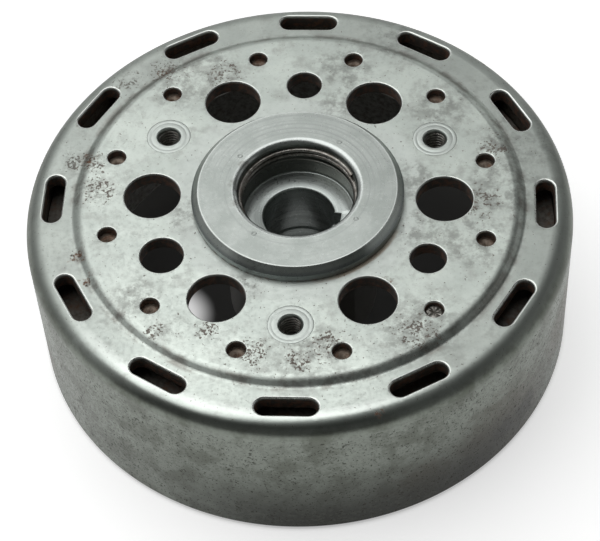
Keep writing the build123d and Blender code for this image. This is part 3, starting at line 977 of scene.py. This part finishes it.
def cup_steel():
    """Pressed steel: pale on top, dark and pitted on the side, dull inside, brown in the holes."""
    material, tree, shader, place = surface("pressed steel", Metallic=1.0, Roughness=0.34)
    radius, height = split(tree, place)
    worn, wall = painted(tree, "worn_edge"), painted(tree, "hole_wall")
    grain = noise(tree, place, 0.9, 6.0, 0.7)
    polished = soft_ring(tree, place, FLANGE_RADIUS + 3.0, 9.0)
    # the front of the wheel: a mask that steers painted shade and highlights on the annulus and shoulder,
    # and roughness
    front = stain_and_shade_spots(tree, place, (64.0, -100, ANNULUS_TOP, 62.0, 6.0))
    colour = web_tone(tree, place, grain, polished)
    colour, pits = web_pits(tree, place, colour)
    colour = annulus_tone(tree, place, radius, colour, front)
    # the side, with its pits
    side = both(tree, ramp(tree, height, ANNULUS_TOP - 0.5, ANNULUS_TOP - 2.8),
                ramp(tree, radius, 65.5, 67.0))
    speckle = both(tree, either(tree, *(use(tree, PITTING, Place=place, Size=size, Amount=amount)[0]
                                        for size, amount in ((0.6, 0.58), (1.0, 0.42)))),
                   ramp(tree, height, 41.5, 38.0))
    colour = tint(tree, colour, side, side_tone(tree, place, height, grain, speckle))
    # rust at the step, on the shoulder and beside the hub
    rusty = stain_and_shade_spots(
        tree, place,
        (56.5, 167.5, WEB_TOP - 0.5, 3.2, 4.0), (58.0, -161, ANNULUS_TOP, 2.3, 4.5),
        (57.6, -153, ANNULUS_TOP, 2.0, 4.5), (57.4, 131, ANNULUS_TOP, 2.6, 3.0),
        (67.9, -71, ANNULUS_TOP - 0.9, 1.5, 3.5), (69.5, 46, 42.0, 2.2, 1.4),
        (36.0, -52, WEB_TOP, 3.6, 3.0))
    rusty = both(tree, rusty, patches(tree, place, 1.2, 5.0, 0.7, 0.43, 0.57))
    colour = tint(tree, colour, rusty, use(tree, RUST, Place=place)[0], 0.85)
    # inside the cup, then the worn lips and grimy walls of the holes
    inside = both(tree, ramp(tree, height, WEB_BOTTOM + 0.5, WEB_BOTTOM + 0.2),
                  ramp(tree, radius, 66.3, 66.0))
    dull = blend(tree, ramp(tree, grain, 0.4, 0.7), (0.30, 0.295, 0.27), (0.16, 0.14, 0.115))
    colour = tint(tree, colour, inside, dull)
    colour = tint(tree, colour, worn, (0.82, 0.85, 0.81))
    grime = blend(tree, patches(tree, place, 0.7, 4.0, 0.6, 0.42, 0.62),
                  (0.065, 0.052, 0.042), (0.16, 0.08, 0.05))
    colour = tint(tree, colour, wall, grime, 0.95)
    tree.links.new(colour, shader.inputs["Base Color"])
    bend = both(tree, ramp(tree, radius, 64.0, 66.5), ramp(tree, height, 37.0, 40.0))
    pitted = both(tree, side, speckle)
    rough = both(tree, ramp(tree, grain, 0.35, 0.7, 0.36, 0.50), inverse(tree, bend))
    for mask, share in ((bend, 0.31), (either(tree, pits, rusty, wall, pitted), 0.3), (polished, 0.12),
                        (both(tree, bend, inverse(tree, front)), 0.15), (worn, -0.12)):
        rough = plus(tree, rough, mask, share)
    tree.links.new(rough, shader.inputs["Roughness"])
    dirt = either(tree, both(tree, rusty, 0.35), both(tree, wall, 0.8))
    tree.links.new(inverse(tree, dirt), shader.inputs["Metallic"])
    bumps(tree, shader, (noise(tree, place, 0.25, 2.0, 0.5), 0.02),
          (noise(tree, place, 1.1, 2.0, 0.5), 0.003), (inverse(tree, either(tree, pits, pitted)), 0.009))
    return material


def flange_face_tone(tree, place, height, grain, rings):
    """The flange's face: clouded, ringed by turning, with painted highlights on its two edges."""
    cloud = patches(tree, place, 0.12, 5.0, 0.6, 0.38, 0.66)
    colour = blend(tree, cloud, (0.378, 0.41, 0.387), (0.458, 0.49, 0.466))
    colour = tint(tree, colour, ramp(tree, rings, 0.52, 0.68), (0.355, 0.38, 0.365))
    colour = tint(tree, colour, ramp(tree, grain, 0.56, 0.72, 0.0, 0.5), (0.36, 0.38, 0.365))
    colour = tint(tree, colour, soft_ring(tree, place, PUNCH_RING + 0.2, 0.5), (0.3, 0.32, 0.31), 0.35)
    # painted highlight along the face's outer edge
    rim_highlight = both(tree, soft_ring(tree, place, FLANGE_FACE - 0.1, 0.6),
                    ramp(tree, height, FLANGE_TOP - 0.5, FLANGE_TOP - 0.1))
    colour = tint(tree, colour, rim_highlight, (0.74, 0.78, 0.75), 0.6)
    # painted highlight on the rounded lip of the mouth
    lip = both(tree, soft_ring(tree, place, 16.0, 1.8),
               ramp(tree, height, FLANGE_TOP - 0.8, FLANGE_TOP - 0.4))
    return tint(tree, colour, lip, (0.74, 0.78, 0.76), 0.6)


def hub_steel():
    """Turned steel: fine rings on the face, darker flange side, painted shade on the thread bed, and a dark
    seat.
    """
    material, tree, shader, place = surface("turned steel", Metallic=1.0, Roughness=0.3,
                                            Anisotropic=0.5, Anisotropic_Rotation=0.25)
    radius, height = split(tree, place)
    rings = use(tree, TURNING, Place=place, Centre=(0, 0, 0), Spacing=0.5)[0]
    grain = noise(tree, place, 1.2, 6.0, 0.7)
    colour = flange_face_tone(tree, place, height, grain, rings)
    on_side = both(tree, ramp(tree, height, FLANGE_TOP - 0.9, FLANGE_TOP - 1.7),
                   ramp(tree, radius, 26.0, 26.6))
    colour = tint(tree, colour, on_side, (0.27, 0.295, 0.29))
    foot = both(tree, ramp(tree, height, WEB_TOP + 0.9, WEB_TOP), on_side,
                patches(tree, place, 0.5, 4.0, 0.6, 0.4, 0.6))
    colour = tint(tree, colour, foot, use(tree, RUST, Place=place)[0], 0.7)
    # the recess: painted shade on the bed behind the thread, dull seat, grimy mouth on one side
    deep_shade = both(tree, ramp(tree, height, FLANGE_TOP - 1.5, FLANGE_TOP - 2.1),
                ramp(tree, height, NUT_SEAT + 0.1, NUT_SEAT + 0.6), ramp(tree, radius, 15.6, 15.2))
    colour = tint(tree, colour, deep_shade, (0.12, 0.115, 0.10), 0.75)
    seat = both(tree, ramp(tree, height, NUT_SEAT + 0.25, NUT_SEAT + 0.02),
                ramp(tree, radius, SEAT_RADIUS + 0.1, SEAT_RADIUS - 0.2))
    seat_tone = blend(tree, ramp(tree, rings, 0.4, 0.66), (0.50, 0.54, 0.52), (0.36, 0.39, 0.375))
    colour = tint(tree, colour, seat, seat_tone)
    grime = stain_and_shade_spots(tree, place, (15.6, 176, FLANGE_TOP, 2.4, 2.4), (15.4, 200, FLANGE_TOP - 0.4, 2.2, 2.4),
                   (15.4, 150, FLANGE_TOP - 0.4, 2.0, 2.4))
    colour = tint(tree, colour, grime, (0.07, 0.05, 0.034), 0.4)
    boss = both(tree, ramp(tree, height, WEB_BOTTOM + 0.2, WEB_BOTTOM - 0.4),
                ramp(tree, radius, 15.5, 16.5))
    colour = tint(tree, colour, boss, (0.085, 0.08, 0.072), 0.95)
    tree.links.new(colour, shader.inputs["Base Color"])
    dirt = either(tree, foot, boss)
    rough = plus(tree, ramp(tree, grain, 0.35, 0.7, 0.27, 0.34), dirt, 0.35)
    tree.links.new(rough, shader.inputs["Roughness"])
    tree.links.new(inverse(tree, both(tree, dirt, 0.85)), shader.inputs["Metallic"])
    tangent = wire(tree, "ShaderNodeTangent", {"direction_type": "RADIAL", "axis": "Z"})
    tree.links.new(tangent.outputs[0], shader.inputs["Tangent"])
    bumps(tree, shader, (rings, 0.006), (noise(tree, place, 1.6, 1.0, 0.5), 0.002))
    return material


def plain_metal(name, light, dark, spacing, rough, metallic=1.0, rust_share=0.0):
    """A turned or rolled metal with fine marks, grain and a little rust."""
    material, tree, shader, place = surface(name, Metallic=metallic, Roughness=rough)
    marks = use(tree, TURNING, Place=place, Centre=(0, 0, 0), Spacing=spacing)[0]
    grain = noise(tree, place, 0.8, 6.0, 0.68)
    colour = blend(tree, ramp(tree, grain, 0.38, 0.68), light, dark)
    colour = tint(tree, colour, ramp(tree, marks, 0.5, 0.75, 0.0, 0.3), dark)
    bloom = patches(tree, place, 0.35, 5.0, 0.65, 0.46, 0.60, rust_share)
    colour = tint(tree, colour, bloom, use(tree, RUST, Place=place)[0])
    tree.links.new(colour, shader.inputs["Base Color"])
    tree.links.new(ramp(tree, grain, 0.3, 0.7, rough - 0.06, rough + 0.12), shader.inputs["Roughness"])
    bumps(tree, shader, (marks, 0.01), (grain, 0.02))
    return material


def insert_steel():
    """The inserts' face: pale, with fine rings round each insert's own centre, and painted shade down
    inside the hole.
    """
    material, tree, shader, place = surface("insert steel", Metallic=1.0, Roughness=0.3)
    colour = None
    for degrees in INSERT_TURNS:
        centre = at(INSERT_RING, degrees, 0)
        rings = use(tree, TURNING, Place=place, Centre=centre, Spacing=0.35)[0]
        near = use(tree, BAND, Place=place, Centre=centre, Radius=0.0, Width=60.0)[0]
        shade = blend(tree, ramp(tree, rings, 0.42, 0.66), (0.585, 0.63, 0.595), (0.52, 0.56, 0.53))
        colour = shade if colour is None else tint(tree, colour, near, shade)
    # painted shade: darker down inside the threaded hole
    inner = ramp(tree, split(tree, place)[1], WEB_TOP - 0.6, WEB_TOP - 1.3)
    colour = tint(tree, colour, inner, (0.13, 0.12, 0.10))
    tree.links.new(colour, shader.inputs["Base Color"])
    grain = noise(tree, place, 1.0, 5.0, 0.65)
    tree.links.new(ramp(tree, grain, 0.35, 0.7, 0.34, 0.46), shader.inputs["Roughness"])
    bumps(tree, shader, (grain, 0.012))
    return material


def ferrite():
    """Sintered ferrite: near black, slightly rough."""
    material, tree, shader, place = surface("sintered ferrite", Metallic=0.0, Roughness=0.6)
    grain = noise(tree, place, 1.4, 6.0, 0.7)
    colour = blend(tree, ramp(tree, grain, 0.35, 0.7), (0.035, 0.035, 0.038), (0.075, 0.073, 0.072))
    tree.links.new(colour, shader.inputs["Base Color"])
    tree.links.new(ramp(tree, grain, 0.3, 0.7, 0.5, 0.75), shader.inputs["Roughness"])
    bumps(tree, shader, (grain, 0.03))
    return material


# ---------------------------------------------------------------- stage, light and camera

def floor_paper():
    """Pale paper that glows round the wheel, is painted dark under it as shade, and is clear from below and
    to shadow rays.
    """
    material, tree, shader, place = surface("pale floor", Roughness=0.9)
    radius = split(tree, place)[0]
    # painted shade: the floor under the wheel is dark
    inside = ramp(tree, radius, RIM_RADIUS + 1.0, RIM_RADIUS - 3.0)
    colour = blend(tree, inside, (0.9, 0.9, 0.9), (0.08, 0.08, 0.078))
    tree.links.new(colour, shader.inputs["Base Color"])
    glow = both(tree, inverse(tree, inside), ramp(tree, radius, 420.0, 170.0))
    # painted light: the ground glows under one lightening hole and under the bore, and faintly under the
    # wheel
    lit = use(tree, SPOT, Place=place, Centre=(-36.0, -4.0, 0.0), Radius=12.5, Ragged=0.0)[0]
    for mask, share in ((lit, 1.1), (ramp(tree, radius, 8.0, 5.0), 0.35), (inside, 0.008)):
        glow = plus(tree, glow, mask, share)
    tree.links.new(blend(tree, glow, (0, 0, 0), (1, 1, 1)), shader.inputs["Emission Color"])
    shader.inputs["Emission Strength"].default_value = 0.62
    clear = tree.nodes.new("ShaderNodeBsdfTransparent").outputs[0]
    unseen = either(tree, tree.nodes.new("ShaderNodeNewGeometry").outputs["Backfacing"],
                    tree.nodes.new("ShaderNodeLightPath").outputs["Is Shadow Ray"])
    sheet = tree.nodes.new("ShaderNodeMixShader")
    for slot, value in zip(sheet.inputs, (unseen, shader.outputs[0], clear)):
        tree.links.new(value, slot)
    tree.links.new(sheet.outputs[0], tree.nodes["Material Output"].inputs["Surface"])
    return material


def make_floor():
    """A square floor just under the open edge."""
    reach, below = 3.0, -0.0005
    mesh = bpy.data.meshes.new("floor")
    mesh.from_pydata([(-reach, -reach, below), (reach, -reach, below),
                      (reach, reach, below), (-reach, reach, below)], [], [(0, 1, 2, 3)])
    mesh.materials.append(floor_paper())
    floor = bpy.data.objects.new("floor", mesh)
    bpy.context.scene.collection.objects.link(floor)


def add_light(name, place, target, width, depth, power, turn=0.0):
    """A rectangular soft light that faces a target."""
    data = bpy.data.lights.new(name, "AREA")
    data.shape, data.size, data.size_y, data.energy = "RECTANGLE", width, depth, power
    light = bpy.data.objects.new(name, data)
    aim = (Vector(target) - Vector(place)).to_track_quat("-Z", "Y").to_matrix().to_4x4()
    light.matrix_world = Matrix.Translation(place) @ aim @ Matrix.Rotation(turn, 4, "Z")
    bpy.context.scene.collection.objects.link(light)


def light_room():
    """A dim room with soft lights."""
    scene = bpy.context.scene
    scene.view_settings.view_transform = "Standard"
    scene.world = bpy.data.worlds.new("dim room")
    scene.world.use_nodes = True
    room = scene.world.node_tree.nodes["Background"].inputs
    room["Color"].default_value = (0.95, 1.0, 0.96, 1)
    room["Strength"].default_value = 0.055
    add_light("overhead softbox", (-0.56, 0.375, 1.29), (-0.56, 0.375, 0), 1.8, 1.6, 13.6, math.radians(40))
    add_light("left wall", (-2.4, 0.4, 1.0), (0, 0.4, 0.3), 3.6, 1.9, 6.5)
    add_light("back wall", (0, 2.6, 0.9), (0, 0, 0.3), 4.2, 1.6, 11.0)
    add_light("front wall", (0, -2.6, 0.9), (0, 0, 0.3), 4.2, 1.4, 1.3)
    add_light("light from below", (0, 0, -1.5), (0, 0, 0), 1.6, 1.6, 16.0)
    add_light("right wall", (2.4, 0.6, 0.6), (0, 0.6, 0.3), 3.0, 1.1, 3.6)


def make_camera():
    """A long lens above the front of the wheel, aimed near the middle of the web."""
    distance, rise, round_the_wheel = 0.54144, math.radians(50.52), math.radians(5.349)
    yaw, pitch, roll = 0.0668, -1.9774, 3.5908
    arm = Vector((0, -math.cos(rise), math.sin(rise))) * distance
    axes = {"ahead": -arm.normalized(), "right": Vector((1, 0, 0))}
    axes["up"] = axes["right"].cross(axes["ahead"])
    for still, degrees in (("up", yaw), ("right", pitch), ("ahead", roll)):
        spin = Matrix.Rotation(math.radians(degrees), 3, axes[still])
        axes.update({name: spin @ axis for name, axis in axes.items() if name != still})
    round_axis = Matrix.Rotation(round_the_wheel, 3, "Z")
    right, up, ahead, arm = (round_axis @ v for v in (axes["right"], axes["up"], axes["ahead"], arm))
    data = bpy.data.cameras.new("camera")
    data.lens, data.sensor_width = 127.67, 36.0
    camera = bpy.data.objects.new("camera", data)
    turn = Matrix((right, up, -ahead)).transposed().to_4x4()
    camera.matrix_world = Matrix.Translation(Vector((0, 0, WEB_TOP * MM)) + arm) @ turn
    bpy.context.scene.collection.objects.link(camera)
    bpy.context.scene.camera = camera


# ---------------------------------------------------------------- putting it together

def make_punch_marks(material):
    """Four small punch marks on the flange's face, seen by their raised burrs."""
    foot, crest = FLANGE_TOP - 0.02, FLANGE_TOP + 0.045
    outline = [(0.32, foot), (0.42, crest), (0.58, crest), (0.72, foot)]
    skin = Skin()
    for turn in range(4):
        centre = polar(PUNCH_RING, math.radians(56.25 + 90 * turn))
        lathe(skin, outline, 24, centre)
    return skin.build("punch_marks", material)


def own(piece, slot_name, *nodes):
    """The piece rides the one body and stands for CAD nodes, if any; slot_name is not used."""
    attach(piece, "root")
    if nodes:
        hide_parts(*nodes)


THREAD_RIDGE = thread_tree()
RING_OF_PARTS = ring_tree()
TURNING = turning_group()
PITTING = pitting_group()
SPOT = spot_group()
BAND = band_group()
RUST = rust_group()

steel = cup_steel()
turned = hub_steel()
threads = plain_metal("thread steel", (0.42, 0.405, 0.375), (0.20, 0.19, 0.17), 0.3, 0.30, 1.0, 0.15)
insert_face = insert_steel()
rivet = plain_metal("rivet steel", (0.33, 0.27, 0.215), (0.17, 0.125, 0.095), 0.5, 0.55, 0.5, 0.4)
bright_rivet = plain_metal("restruck steel", (0.40, 0.39, 0.36), (0.20, 0.185, 0.165), 0.4, 0.4)
can = plain_metal("drawn steel", (0.52, 0.52, 0.49), (0.28, 0.27, 0.24), 0.8, 0.36, 1.0, 0.12)
# the spacer ring is darkened as painted shade, so the slots look dark
aluminium = plain_metal("shade-darkened aluminium", (0.15, 0.14, 0.122), (0.08, 0.07, 0.058), 0.6, 0.6, 0.4, 0.3)
black = ferrite()

make_camera()
light_room()
make_floor()
own(make_cup(steel), "cup_steel", "rotor_cup")
own(make_hub(turned), "hub_steel", "hub")
own(make_punch_marks(turned), "hub_steel")
own(make_thread("puller_thread_ridge", threads, THREAD_BED, THREAD_MINOR, THREAD_PITCH,
                THREAD_BOTTOM, THREAD_LENGTH), "hub_steel")
for number in (1, 2, 3):
    body, ridge = make_insert(number, insert_face)
    ridge.data.materials[0] = threads
    own(body, "insert_steel", f"puller_insert_{number}")
    own(ridge, "insert_steel")
own(make_basket(can), "basket_steel", "magnet_basket")
own(make_rivets(rivet), "rivet_steel", "basket_rivets")
own(make_restruck_end(bright_rivet), "rivet_steel")
for node, piece in frame["nodes"].items():
    if node == "spacer_ring" or node.startswith("magnet_") and node != "magnet_basket":
        piece.data.materials.clear()
        piece.data.materials.append(aluminium if node == "spacer_ring" else black)
